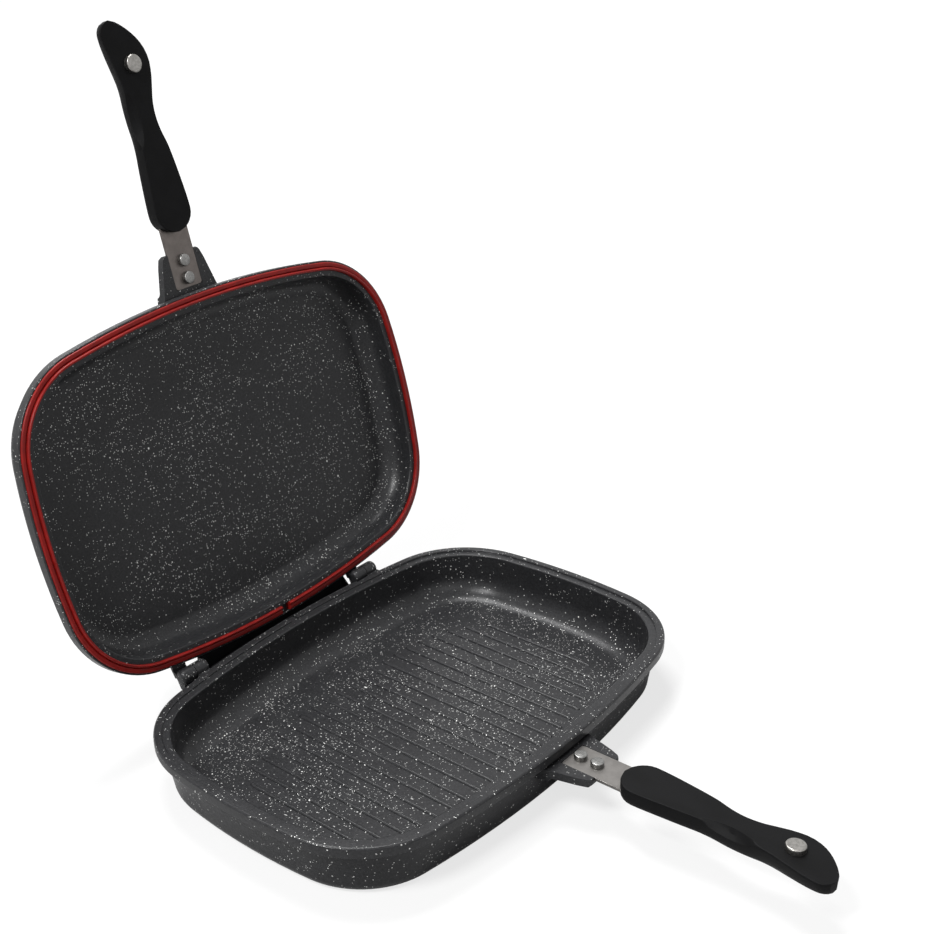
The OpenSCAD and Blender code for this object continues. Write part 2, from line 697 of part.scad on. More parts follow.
// Ring of points round the handle at distance s from its inner end; z = 0 is the flat face
function handle_ring(s) =
    let (xl = edge_x(s, 1), xr = edge_x(s, 2), h = max((xr - xl) / 2, 0.6), cx = (xl + xr) / 2,
         e = min(edge_break, h * 0.5), c = min(e + scoop(s), h * 0.7),
         bow = 0.29 + 0.33 * scoop(s) / scoop_depth, power = along(s, back_power),
         deep = depth_at(s), side = min(max(along(s, side_wall), c + 0.3), deep - 2))
    concat(
        [[cx - h + c, 0], [cx - h + c * bow, -c * bow], [cx - h, -c]],
        [for (i = [0 : back_points])
            let (a = 180 + 180 * i / back_points, ca = cos(a), sa = sin(a))
            [cx + h * sign(ca) * pow(abs(ca), 2 / power),
             -side - (deep - side) * pow(abs(sa), 2 / power)]],
        [[cx + h, -e], [cx + h - e * 0.29, -e * 0.29], [cx + h - e, 0]]
    );

// Stations are closer together where the ends round off
handle_steps = 40;
function station_s(i) =
    let (t = i / handle_steps) handle_l * (t - sin(720 * t) / 40 - sin(360 * t) / 26);

module handle_body() {
    n = back_points + 7;
    rings = [for (i = [0 : handle_steps])
        let (s = min(max(station_s(i), 0.02), handle_l - 0.02))
        [for (p = handle_ring(s)) [p[0], -s, p[1]]]];
    polyhedron(
        points = [for (ring = rings) each ring],
        faces = concat(
            [[for (j = [0 : n - 1]) j]],
            [[for (j = [n - 1 : -1 : 0]) handle_steps * n + j]],
            [for (i = [0 : handle_steps - 1], j = [0 : n - 1])
                [i * n + j, (i + 1) * n + j, (i + 1) * n + (j + 1) % n]],
            [for (i = [0 : handle_steps - 1], j = [0 : n - 1])
                [i * n + j, (i + 1) * n + (j + 1) % n, i * n + (j + 1) % n]]
        )
    );
}

screw_head_r = 4.2;
washer_r = screw_head_r + 0.4;
washer_t = 1;
screw_head_h = 3;
screw_play = 0.2;                        // around the screw's shank and the washer
screw_floor = 3.2;                       // moulding between strap and washer
screw_seat_z = strap_top - strap_t - screw_floor;
module handle() color(grip_color)
    difference() {
        translate([0, handle_y, handle_face]) handle_body();
        translate([-strap_w / 2 - seat_gap, strap_end_y - seat_gap, strap_top - strap_t - seat_gap])
            cube([strap_w + 2 * seat_gap, handle_y - strap_end_y + 20, strap_t + 2 * seat_gap]);
        translate([0, screw_y, 0]) {
            translate([0, 0, screw_seat_z]) cylinder(r = screw_r + screw_play, h = 10, $fn = round_fn);
            translate([0, 0, screw_seat_z - 20])
                cylinder(r = washer_r + screw_play, h = 20, $fn = round_fn);
        }
        translate([magnet_x, magnet_y, handle_face - cap_sink])
            cylinder(r = cap_r + seat_gap, h = cap_sink + 5, $fn = round_fn);
    }

module handle_washer() color(steel_color)
    translate([0, screw_y, screw_seat_z - washer_t]) difference() {
        cylinder(r = washer_r, h = washer_t, $fn = round_fn);
        translate([0, 0, -over])
            cylinder(r = screw_r + screw_play, h = washer_t + 2 * over, $fn = round_fn);
    }

module handle_screw() color(steel_color)
    translate([0, screw_y, 0]) difference() {
        rotate_extrude($fn = round_fn) polygon(concat(
            [[0, screw_seat_z - washer_t - screw_head_h]],
            arc([screw_head_r - 1.2, screw_seat_z - washer_t - screw_head_h + 1.2], 1.2, 270, 360, 3),
            [[screw_head_r, screw_seat_z - washer_t], [screw_r, screw_seat_z - washer_t],
             [screw_r, strap_top + 0.4], [0, strap_top + 0.4]]
        ));
        for (turn = [0, 90]) rotate([0, 0, turn])
            translate([-2.4, -0.5, screw_seat_z - washer_t - screw_head_h - 1]) cube([4.8, 1, 2.6]);
    }

cap_sink = 4;
cap_wall = 0.8;
cap_top = mid_z - cap_drop;
magnet_h = 6.4;
// Drawn stainless cap over the magnet, open at the bottom of its pocket
module magnet_cap() color(steel_color)
    translate([magnet_x, magnet_y, 0]) rotate_extrude($fn = round_fn) polygon(concat(
        [[cap_r - cap_wall, handle_face - cap_sink], [cap_r, handle_face - cap_sink]],
        arc([cap_r - 1, cap_top - 1], 1, 0, 90, 4),
        [[0, cap_top], [0, cap_top - cap_wall], [cap_r - cap_wall, cap_top - cap_wall]]
    ));

module magnet() color(magnet_color)
    translate([magnet_x, magnet_y, cap_top - cap_wall - magnet_h])
        cylinder(r = cap_r - cap_wall - 0.05, h = magnet_h, $fn = round_fn);

module upper() {
    opened() faced_down() children();
}

lower_pan();
drip_tray();
color(steel_color) hinge_pin(left_joint_x);  // hinge_pin_left
color(steel_color) hinge_pin(right_joint_x);  // hinge_pin_right
strap();  // lower_strap
rivets();  // lower_rivets
handle();  // lower_handle
handle_screw();  // lower_handle_screw
handle_washer();  // lower_handle_washer
magnet_cap();  // lower_magnet_cap
magnet();  // lower_magnet
upper_pan();
gasket();
upper() strap();  // upper_strap
upper() rivets();  // upper_rivets
upper() handle();  // upper_handle
upper() handle_screw();  // upper_handle_screw
upper() handle_washer();  // upper_handle_washer
upper() magnet_cap();  // upper_magnet_cap
upper() magnet();  // upper_magnet
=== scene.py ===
"""Finish, light and camera of an open double-sided flip pan, built around its packed model.

Lengths are metres in the model's own frame: +X along the hinge, +Y from the handles to the hinge,
+Z up. The upper pan stands open.
"""

import json
import math

import bmesh
import bpy
from bpy.props import FloatProperty, FloatVectorProperty, PointerProperty
from mathutils import Matrix, Vector


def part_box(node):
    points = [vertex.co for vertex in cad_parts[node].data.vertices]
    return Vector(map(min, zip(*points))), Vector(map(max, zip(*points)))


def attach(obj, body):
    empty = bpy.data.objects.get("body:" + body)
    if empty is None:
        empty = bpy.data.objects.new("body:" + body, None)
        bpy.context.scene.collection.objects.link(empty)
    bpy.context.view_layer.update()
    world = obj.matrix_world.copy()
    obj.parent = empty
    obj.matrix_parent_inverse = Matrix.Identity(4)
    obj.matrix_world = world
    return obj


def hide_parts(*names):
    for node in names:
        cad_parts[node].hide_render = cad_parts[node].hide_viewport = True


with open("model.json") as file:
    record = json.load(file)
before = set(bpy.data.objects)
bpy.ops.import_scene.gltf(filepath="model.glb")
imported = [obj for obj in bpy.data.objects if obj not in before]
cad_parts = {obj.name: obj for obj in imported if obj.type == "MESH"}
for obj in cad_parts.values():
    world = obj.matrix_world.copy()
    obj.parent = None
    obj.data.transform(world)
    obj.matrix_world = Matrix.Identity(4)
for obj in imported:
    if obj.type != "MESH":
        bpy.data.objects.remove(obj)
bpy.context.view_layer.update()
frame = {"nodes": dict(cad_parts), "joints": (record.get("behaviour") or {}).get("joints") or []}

bl_info = {
    "name": "Flip Pan Looks",
    "version": (1, 0, 0),
    "blender": (4, 5, 0),
    "location": "View3D > Sidebar > Flip Pan",
    "description": "Surfaces, finishes and studio of a double-sided flip pan",
    "category": "Object",
}

MM = 0.001
LOWER, UPPER, TRAY = "lower_half", "upper_half", "tray"
HALVES = (("lower", LOWER), ("upper", UPPER))

# The move that closes the upper pan
HINGE = next(joint for joint in frame["joints"] if joint["name"] == "pan_hinge")
HINGE_POINT = Matrix.Translation(HINGE["pos_m"])
OPEN_ANGLE = math.radians(HINGE["range_deg"][1])
CLOSED = HINGE_POINT @ Matrix.Rotation(OPEN_ANGLE, 4, "X") @ HINGE_POINT.inverted()

# The drip tray's raised back wall
LONG_SIDE_R = 740 * MM                    # radius of the pans' long sides
TRAY_MIDDLE_Y = 130.8 * MM                # middle of the tray's width, halfway along it
TRAY_LOW_WALL = 7 * MM                    # its back wall ends less than this below its top
TRAY_RISE = 1.2                           # rise of the raised wall for each mm of the sides' sag

# Cleaning, rounding and shading of the copies
WELD = 0.002 * MM                         # corners nearer than this are joined
SPECK = 0.001 * MM                        # edges shorter than this are dropped
FLAT_ANGLE = math.radians(0.5)            # faces that meet at less than this are made one
BEVEL_ANGLE = math.radians(35)            # edges sharper than this are rounded
BEVEL_STEPS = 2
SHARP_ANGLE = math.radians(30)            # edges sharper than this look sharp
CASTING_ANGLE = math.radians(28)          # the same for the two pans
SEAL_ANGLE = math.radians(50)             # the same for the gasket
GRIP_ANGLE = math.radians(24)             # the same for the handles
RIVET_EDGE = 0.15 * MM                    # rounding of the rivets' edges
SCREW_EDGE = 0.12 * MM                    # rounding of the screws' and washers' edges

# Where the coating's flecks fall
BRACKET_Y = -122.5 * MM                   # the brackets start beyond this, with the pan closed
BRACKET_SPRAY = 0.35                      # flecks on a bracket, as a share of the pan's
WALL_SPRAY = 0.42                         # flecks on an upright wall, as a share of a flat floor's
SPRAY_SPREAD = 1.1                        # above 1, slightly sloping faces count as flat
FLECK_SCATTER = 0.78                      # at 1, flecks of neighbouring cells often touch


def colour(name, note, value):
    """An RGB property."""
    return FloatVectorProperty(name=name, description=note, subtype="COLOR", size=3,
                               min=0, max=1, default=value)


def length(name, note, value):
    """A length property, in metres."""
    return FloatProperty(name=name, description=note, unit="LENGTH", default=value)


def angle(name, note, degrees):
    """An angle property, given in degrees."""
    return FloatProperty(name=name, description=note, subtype="ANGLE",
                         default=math.radians(degrees))


def share(name, note, value, top=1.0):
    """A plain number from 0 to top."""
    return FloatProperty(name=name, description=note, min=0, max=top, default=value)


class CoatingSettings(bpy.types.PropertyGroup):
    """The speckled non-stick coating of both pans."""

    ground: colour("Ground", "Colour between the flecks", (0.0205, 0.0207, 0.0222))
    fleck: colour("Fleck", "Colour of the pale flecks", (0.86, 0.86, 0.84))
    fine_pitch: length("Fine pitch", "Distance between the finest flecks", 1.6 * MM)
    fleck_pitch: length("Fleck pitch", "Distance between the middling flecks", 2.8 * MM)
    chip_pitch: length("Chip pitch", "Distance between the large chips", 6.2 * MM)
    gloss: share("Roughness", "Roughness of the baked coating", 0.31)
    shine: share("Shine", "Specular level of the baked coating", 0.24)
    peel: length("Orange peel", "Height of the coating's ripples", 0.04 * MM)


class MetalSettings(bpy.types.PropertyGroup):
    """Straps, rivets, caps, pins and screws."""

    strap: colour("Lower strap", "Brushed steel of the lower strap", (0.20, 0.191, 0.182))
    # The upper strap is the same brushed steel as the lower one. Its tint is painted darker as
    # painted shade, standing in for the darker surroundings that it reflects.
    strap_with_painted_shade: colour("Upper strap", "Shade-painted steel of the upper strap",
                       (0.15, 0.133, 0.124))
    rivet: colour("Rivet", "Rivet heads", (0.24, 0.238, 0.232))
    cap: colour("Cap", "Magnet caps", (0.30, 0.29, 0.275))
    plated: colour("Plating", "Screws, washers and pins", (0.45, 0.44, 0.42))
    edge: length("Edge", "Rounding of the straps' cut edges", 0.25 * MM)


class GripSettings(bpy.types.PropertyGroup):
    """The moulded handles and the drip tray."""

    grip: colour("Grip", "Handle moulding", (0.0044, 0.0044, 0.0047))
    tray: colour("Tray", "Drip tray moulding", (0.010, 0.010, 0.011))
    gloss: share("Roughness", "Roughness of both mouldings", 0.5)
    shine: share("Shine", "Specular level of both mouldings", 0.075)
    grain: length("Grain", "Height of the moulded grain", 0.06 * MM)


class SealSettings(bpy.types.PropertyGroup):
    """The silicone gasket."""

    seal: colour("Silicone", "Gasket silicone", (0.215, 0.0072, 0.0056))
    shine: share("Shine", "Specular level of the silicone", 0.22)
    gloss: share("Roughness", "Roughness of the silicone", 0.38)


class StudioSettings(bpy.types.PropertyGroup):
    """Camera, surround and floor."""

    azimuth: angle("Azimuth", "Direction of the camera round the pan", -45.293)
    elevation: angle("Elevation", "Height of the camera as an angle", 26.603)
    roll: angle("Roll", "Turn of the camera about its own line of sight", -3.660)
    place: FloatVectorProperty(name="Place", description="Where the camera stands",
                               subtype="TRANSLATION", default=(-0.6249, -0.5394, 0.5838))
    sensor: share("Sensor", "Width of the camera's sensor, in mm", 36, 100)
    lens: share("Lens", "Focal length, in mm", 55.456, 300)
    shift_right: share("Shift right", "Shift of the frame, as a share of its width", 0.15224)
    shift_up: share("Shift up", "Shift of the frame, as a share of its width", 0.04655)
    sky: share("Sky", "Strength of the white surround as a light", 0.17)
    floor_radius: length("Floor", "Radius of the floor", 7.0)
    floor_light: share("Floor light", "Grey that the floor throws back at the pan", 0.62)
    floor_shadow: share("Floor shadow", "Grey that carries the pan's shadow to the camera", 0.25)
    glow_near: share("Glow near", "Floor's glow near the pan, seen by the camera only", 0.74)
    glow_far: share("Glow far", "Floor's glow far from the pan, seen by the camera only", 0.98)
    glow_start: length("Glow start", "Distance at which the glow begins to rise", 0.5)
    glow_end: length("Glow end", "Distance at which the glow is at its full", 2.2)


# ------------------------------------------------------------------------------ meshes
def new_piece(name, bm, body, finish):
    """Makes a piece of a bmesh and lets it ride on a body."""
    mesh = bpy.data.meshes.new(name)
    bm.to_mesh(mesh)
    bm.free()
    piece = bpy.data.objects.new(name, mesh)
    bpy.context.scene.collection.objects.link(piece)
    mesh.materials.append(finish)
    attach(piece, body)
    return piece


def mark_edges(bm, limit):
    """Smooths all faces, and marks the edges where they meet at more than the limit as sharp."""
    for face in bm.faces:
        face.smooth = True
    for edge in bm.edges:
        edge.smooth = edge.calc_face_angle(0) < limit


def merged_copy(node):
    """A bmesh of a node's mesh with its loose triangles joined."""
    bm = bmesh.new()
    bm.from_mesh(frame["nodes"][node].data)
    bmesh.ops.remove_doubles(bm, verts=bm.verts, dist=WELD)
    bmesh.ops.dissolve_degenerate(bm, dist=SPECK, edges=bm.edges)
    return bm


def even_normals(piece):
    """Lets the large faces shade flat and the small ones round the edges."""
    weighted = piece.modifiers.new("even_normals", "WEIGHTED_NORMAL")
    weighted.keep_sharp = True
    return piece


def bevel_sharp(bm, width):
    """Makes flat faces whole and rounds the sharp edges between them."""
    bmesh.ops.dissolve_limit(bm, angle_limit=FLAT_ANGLE, verts=bm.verts, edges=bm.edges)
    edges = [e for e in bm.edges if e.is_manifold and e.calc_face_angle(0) > BEVEL_ANGLE]
    bmesh.ops.bevel(bm, geom=edges, offset=width, offset_type="OFFSET", segments=BEVEL_STEPS,
                    profile=0.5, affect="EDGES", material=-1, clamp_overlap=True)


def add_spray(bm, to_closed):
    """Keeps the share of sprayed flecks at each point: full on a flat floor, low on a bracket."""
    spray = bm.verts.layers.float.new("spray")
    bm.normal_update()
    for vert in bm.verts:
        facing_up = abs((to_closed.to_3x3() @ vert.normal).z)
        flat = min(facing_up * SPRAY_SPREAD, 1.0) ** 2
        amount = WALL_SPRAY + (1 - WALL_SPRAY) * flat
        on_bracket = (to_closed @ vert.co).y < BRACKET_Y
        vert[spray] = amount * (BRACKET_SPRAY if on_bracket else 1.0)


def dressed(node, name, finish, body, rounding=0.0, limit=SHARP_ANGLE, sprayed=None):
    """A finished stand-in for a node: its shape, joined, rounded at the edges and shaded evenly.

    For a coated piece, sprayed is the move that takes it to its place in the closed pan.
    """
    bm = merged_copy(node)
    if sprayed:
        add_spray(bm, sprayed)
    if rounding:
        bevel_sharp(bm, rounding)
    mark_edges(bm, limit)
    piece = new_piece(name, bm, body, finish)
    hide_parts(node)
    return even_normals(piece)


# ------------------------------------------------------------------------------ materials
class Finish:
    """A material under construction, with helpers for its nodes."""

    def __init__(self, name):
        self.material = bpy.data.materials.new(name)
        self.material.use_nodes = True
        self.nodes = self.material.node_tree.nodes
        self.links = self.material.node_tree.links
        self.shader = self.nodes["Principled BSDF"]
        self.place = self.add("ShaderNodeTexCoord").outputs["Object"]

    def add(self, kind, **settings):
        """Adds a node and sets its attributes."""
        node = self.nodes.new(kind)
        for key, value in settings.items():
            setattr(node, key, value)
        return node

    def feed(self, socket, value):
        """Joins a socket to another, or gives it a number or a colour."""
        if isinstance(value, bpy.types.NodeSocket):
            self.links.new(value, socket)
        elif isinstance(value, (int, float)):
            socket.default_value = value
        else:
            socket.default_value = (*value, 1)

    def stretched(self, scale, rotation=(0, 0, 0), vector=None):
        """Coordinates turned and stretched, for features that run one way."""
        node = self.add("ShaderNodeMapping")
        node.inputs["Rotation"].default_value = rotation
        node.inputs["Scale"].default_value = scale
        self.feed(node.inputs["Vector"], vector or self.place)
        return node.outputs["Vector"]

    def jittered(self, pitch, reach):
        """Coordinates moved about by less than the reach, for ragged outlines."""
        offset = self.add("ShaderNodeVectorMath", operation="SCALE")
        self.feed(offset.inputs["Scale"], reach)
        self.feed(offset.inputs[0], self.noise_node(pitch, 0.0).outputs["Color"])
        moved = self.add("ShaderNodeVectorMath", operation="ADD")
        self.feed(moved.inputs[0], self.place)
        self.feed(moved.inputs[1], offset.outputs["Vector"])
        return moved.outputs["Vector"]

    def noise_node(self, pitch, detail, vector=None):
        """A noise texture with features about one pitch apart."""
        node = self.add("ShaderNodeTexNoise")
        self.feed(node.inputs["Scale"], 1 / pitch)
        self.feed(node.inputs["Detail"], detail)
        self.feed(node.inputs["Vector"], vector or self.place)
        return node

    def noise(self, pitch, detail=2.0, vector=None):
        """The strength of such noise, mostly between 0.3 and 0.7."""
        return self.noise_node(pitch, detail, vector).outputs["Fac"]

    def cells(self, pitch, vector):
        """Random cells about one pitch apart, with centres that seldom come close."""
        node = self.add("ShaderNodeTexVoronoi")
        self.feed(node.inputs["Scale"], 1 / pitch)
        self.feed(node.inputs["Randomness"], FLECK_SCATTER)
        self.feed(node.inputs["Vector"], vector)
        return node

    def maths(self, operation, first, second):
        """Works on two values."""
        node = self.add("ShaderNodeMath", operation=operation)
        self.feed(node.inputs[0], first)
        self.feed(node.inputs[1], second)
        return node.outputs["Value"]

    def ramp(self, source, low, high, out_low=0.0, out_high=1.0):
        """Maps low to high of a value onto out_low to out_high, smoothly and clamped."""
        node = self.add("ShaderNodeMapRange", interpolation_type="SMOOTHSTEP")
        self.feed(node.inputs["Value"], source)
        self.feed(node.inputs["From Min"], low)
        self.feed(node.inputs["From Max"], high)
        self.feed(node.inputs["To Min"], out_low)
        self.feed(node.inputs["To Max"], out_high)
        return node.outputs["Result"]

    def mix(self, amount, first, second):
        """Mixes two colours."""
        node = self.add("ShaderNodeMix", data_type="RGBA")
        inputs = {socket.identifier: socket for socket in node.inputs}
        outputs = {socket.identifier: socket for socket in node.outputs}
        self.feed(inputs["Factor_Float"], amount)
        self.feed(inputs["A_Color"], first)
        self.feed(inputs["B_Color"], second)
        return outputs["Result_Color"]

    def bump(self, height, distance, strength=1.0, below=None):
        """Roughens the surface by a height, on top of another bump where one is given."""
        node = self.add("ShaderNodeBump")
        self.feed(node.inputs["Strength"], strength)
        self.feed(node.inputs["Distance"], distance)
        self.feed(node.inputs["Height"], height)
        if below:
            self.feed(node.inputs["Normal"], below)
        return node.outputs["Normal"]

    def wear(self, **sockets):
        """Feeds the shader's sockets, named with underscores for spaces."""
        for key, value in sockets.items():
            self.feed(self.shader.inputs[key.replace("_", " ")], value)
        return self.material


def shade(value, factor):
    """A colour made lighter or darker."""
    return tuple(min(channel * factor, 1.0) for channel in value)


def fleck_layer(f, amount, pitch, vector, radius, chance):
    """Flecks of one size, one to a cell at most: up to 1 inside a fleck and 0 between them.

    The radius is the largest, as a share of the pitch. The chance is a cell's to hold a fleck.
    """
    smallest = 0.6 * radius
    dimmest = 0.45
    cell = f.cells(pitch, vector)
    dice = f.add("ShaderNodeSeparateColor")
    f.feed(dice.inputs["Color"], cell.outputs["Color"])
    luck = f.maths("SUBTRACT", f.maths("MULTIPLY", amount, chance), dice.outputs["Red"])
    drawn = f.ramp(luck, 0.0, 0.02)
    size = f.ramp(dice.outputs["Green"], 0.0, 1.0, smallest, radius)
    inside = f.ramp(f.maths("SUBTRACT", size, cell.outputs["Distance"]), -0.015, 0.025)
    bright = f.ramp(dice.outputs["Blue"], 0.2, 1.0, dimmest, 1.0)
    return f.maths("MULTIPLY", f.maths("MULTIPLY", inside, drawn), bright)


def coating_flecks(f, look):
    """Pale flecks of three sizes, in drifts and thinner on the walls."""
    spray = f.add("ShaderNodeAttribute", attribute_name="spray").outputs["Fac"]
    drifts = f.ramp(f.noise(42 * MM), 0.34, 0.66, 0.40, 1.30)
    amount = f.maths("MULTIPLY", drifts, spray)
    ragged = f.jittered(pitch=2.6 * MM, reach=0.32 * MM)
    long_grain = f.stretched((1.0, 0.5, 0.8), rotation=(0.5, 0.3, 0.7), vector=ragged)
    fine = fleck_layer(f, amount, look.fine_pitch, f.place, radius=0.25, chance=0.62)
    flecks = fleck_layer(f, amount, look.fleck_pitch, ragged, radius=0.19, chance=0.46)
    chips = fleck_layer(f, amount, look.chip_pitch, long_grain, radius=0.115, chance=0.13)
    return f.maths("MAXIMUM", f.maths("MAXIMUM", fine, flecks), chips)


def speckled_coating():
    """Dark baked coating with pale flecks and dust, over an orange peel."""
    look = bpy.context.scene.pan_coating
    f = Finish("speckled_coating")
    flecks = coating_flecks(f, look)
    mottle = f.ramp(f.noise(1.6 * MM, 3.0), 0.3, 0.7)
    dust = f.ramp(f.noise(0.6 * MM, 1.0), 0.66, 0.80, 0.0, 0.22)
    ground = f.mix(mottle, shade(look.ground, 0.78), shade(look.ground, 1.26))
    dusty = f.mix(dust, ground, shade(look.fleck, 0.4))
    peel = f.bump(f.noise(2.4 * MM, 1.5), look.peel * 2)
    height = f.maths("ADD", f.noise(0.7 * MM, 1.0), f.maths("MULTIPLY", flecks, 0.4))
    gloss = f.ramp(f.noise(20 * MM, 3.0), 0.3, 0.7, look.gloss - 0.03, look.gloss + 0.04)
    return f.wear(Base_Color=f.mix(flecks, dusty, look.fleck), Roughness=gloss,
                  Normal=f.bump(height, look.peel, below=peel), Specular_IOR_Level=look.shine)


def brushed_steel(name, tint, along, roughness):
    """Stained steel with fine streaks along one axis."""
    f = Finish(name)
    scale = [1.0, 1.0, 1.0]
    scale["XYZ".index(along)] = 0.018
    streaks = f.noise(0.22 * MM, 3.0, f.stretched(scale))
    stains = f.ramp(f.noise(6 * MM, 3.0), 0.3, 0.75)
    stained = f.mix(stains, shade(tint, 0.88), shade(tint, 1.08))
    tone = f.mix(f.ramp(streaks, 0.3, 0.7, 0.0, 0.12), stained, shade(tint, 0.55))
    rough = f.ramp(streaks, 0.25, 0.75, roughness - 0.07, roughness + 0.07)
    return f.wear(Base_Color=tone, Metallic=1.0, Roughness=rough,
                  Normal=f.bump(streaks, 0.012 * MM, 0.6))


def struck_metal(name, tint, roughness, dent):
    """Metal that was upset or drawn, with shallow dents and fine scratches."""
    f = Finish(name)
    scratches = f.noise(0.3 * MM, 2.0, f.stretched((1.0, 0.15, 0.6)))
    blotches = f.ramp(f.noise(1.8 * MM, 3.0), 0.35, 0.7)
    tone = f.mix(blotches, shade(tint, 0.80), shade(tint, 1.06))
    rough = f.ramp(scratches, 0.3, 0.7, roughness - 0.06, roughness + 0.09)
    dents = f.bump(f.noise(2.2 * MM, 1.0), dent)
    return f.wear(Base_Color=tone, Metallic=1.0, Roughness=rough,
                  Normal=f.bump(scratches, 0.006 * MM, 0.5, below=dents))


def moulding(name, tint):
    """Dark heat-proof moulding with a fine grain and faint flow marks."""
    look = bpy.context.scene.pan_grip
    f = Finish(name)
    flow = f.noise(12 * MM, 3.0, f.stretched((1.0, 0.45, 1.0)))
    tone = f.mix(f.ramp(flow, 0.3, 0.7), shade(tint, 0.8), shade(tint, 1.25))
    rough = f.ramp(flow, 0.3, 0.7, look.gloss - 0.03, look.gloss + 0.05)
    waves = f.bump(f.noise(5 * MM, 1.0), look.grain)
    grain = f.bump(f.noise(0.9 * MM, 3.0), look.grain, below=waves)
    return f.wear(Base_Color=tone, Roughness=rough, Normal=grain, Specular_IOR_Level=look.shine)


def silicone():
    """Deep red satin silicone with a soft bloom."""
    look = bpy.context.scene.pan_seal
    f = Finish("red_silicone")
    bloom = f.noise(9 * MM, 3.0)
    tone = f.mix(f.ramp(bloom, 0.3, 0.75), shade(look.seal, 0.82), shade(look.seal, 1.15))
    rough = f.ramp(bloom, 0.3, 0.7, look.gloss - 0.04, look.gloss + 0.08)
    return f.wear(Base_Color=tone, Roughness=rough, Specular_IOR_Level=look.shine,
                  Normal=f.bump(f.noise(1.2 * MM), 0.02 * MM),
                  Subsurface_Weight=0.06, Subsurface_Scale=2 * MM)


MATERIALS = {}


def material(name):
    """A finish by name, made the first time that a piece asks for it."""
    if name not in MATERIALS:
        metal, grip = bpy.context.scene.pan_metal, bpy.context.scene.pan_grip
        dull = shade(metal.plated, 0.6)
        makers = {
            "coating": speckled_coating,
            "silicone": silicone,
            "lower_strap": lambda: brushed_steel("brushed_strap", metal.strap, "Y", 0.40),
            # Same steel as the lower strap, with its tint painted darker as painted shade.
            "upper_strap": lambda: brushed_steel("strap_painted_darker", metal.strap_with_painted_shade, "Z", 0.42),
            "pin": lambda: brushed_steel("drawn_pin", metal.plated, "X", 0.30),
            "rivet": lambda: struck_metal("rivet_head", metal.rivet, 0.30, dent=0.10 * MM),
            "cap": lambda: struck_metal("satin_cap", metal.cap, 0.33, dent=0.02 * MM),
            "plated": lambda: struck_metal("zinc_plate", metal.plated, 0.34, dent=0.01 * MM),
            "magnet": lambda: struck_metal("nickel_magnet", dull, 0.42, dent=0.02 * MM),
            "grip": lambda: moulding("grip_moulding", grip.grip),
            "tray": lambda: moulding("tray_moulding", grip.tray),
        }
        MATERIALS[name] = makers[name]()
    return MATERIALS[name]


# ------------------------------------------------------------------------------ pieces
def make_lower_pan():
    dressed("lower_pan", "lower_pan_casting", material("coating"), LOWER,
            limit=CASTING_ANGLE, sprayed=Matrix.Identity(4))


def make_upper_pan():
    dressed("upper_pan", "upper_pan_casting", material("coating"), UPPER,
            limit=CASTING_ANGLE, sprayed=CLOSED)


def make_seal():
    dressed("gasket", "lid_seal", material("silicone"), UPPER, limit=SEAL_ANGLE)


def make_tray():
    """The drip tray, with its back wall raised to just below the open upper pan."""
    tray = dressed("drip_tray", "drip_trough", material("tray"), TRAY)
    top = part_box("drip_tray")[1][2]
    for vert in tray.data.vertices:
        sag = vert.co.x ** 2 / (2 * LONG_SIDE_R)
        if vert.co.z > top - TRAY_LOW_WALL and vert.co.y > TRAY_MIDDLE_Y - sag:
            vert.co.z = top + TRAY_RISE * sag


def make_pins():
    for side in ("left", "right"):
        dressed(f"hinge_pin_{side}", f"pin_{side}", material("pin"), LOWER)


def make_straps():
    edge = bpy.context.scene.pan_metal.edge
    for half, body in HALVES:
        dressed(f"{half}_strap", f"{half}_strap_plate", material(f"{half}_strap"),
                body, rounding=edge)


def make_rivets():
    for half, body in HALVES:
        dressed(f"{half}_rivets", f"{half}_rivet_pair", material("rivet"), body,
                rounding=RIVET_EDGE)


def make_grips():
    for half, body in HALVES:
        dressed(f"{half}_handle", f"{half}_grip", material("grip"), body,
                limit=GRIP_ANGLE)


def make_screws():
    for half, body in HALVES:
        for part in ("screw", "washer"):
            dressed(f"{half}_handle_{part}", f"{half}_{part}", material("plated"),
                    body, rounding=SCREW_EDGE)


def make_magnets():
    for half, body in HALVES:
        dressed(f"{half}_magnet_cap", f"{half}_cap", material("cap"), body)
        dressed(f"{half}_magnet", f"{half}_magnet_disc", material("magnet"), body)


# ------------------------------------------------------------------------------ studio
def make_camera():
    """The camera of the photo."""
    look = bpy.context.scene.pan_studio
    data = bpy.data.cameras.new("camera")
    data.sensor_width = look.sensor
    data.lens = look.lens
    data.shift_x = look.shift_right
    data.shift_y = look.shift_up
    data.clip_start, data.clip_end = 0.01, 100
    camera = bpy.data.objects.new("camera", data)
    camera.matrix_world = (Matrix.Translation(Vector(look.place))
                           @ Matrix.Rotation(look.azimuth, 4, "Z")
                           @ Matrix.Rotation(math.pi / 2 - look.elevation, 4, "X")
                           @ Matrix.Rotation(look.roll, 4, "Z"))
    bpy.context.scene.collection.objects.link(camera)
    bpy.context.scene.camera = camera


def seen_as_white(nodes, links):
    """1 for rays that see the background directly, in metal or through glass, and 0 for light."""
    path = nodes.new("ShaderNodeLightPath")
    kinds = [path.outputs[f"Is {kind} Ray"] for kind in ("Camera", "Glossy", "Transmission")]
    total = kinds[0]
    for kind in kinds[1:]:
        either = nodes.new("ShaderNodeMath")
        either.operation = "MAXIMUM"
        links.new(total, either.inputs[0])
        links.new(kind, either.inputs[1])
        total = either.outputs["Value"]
    return total


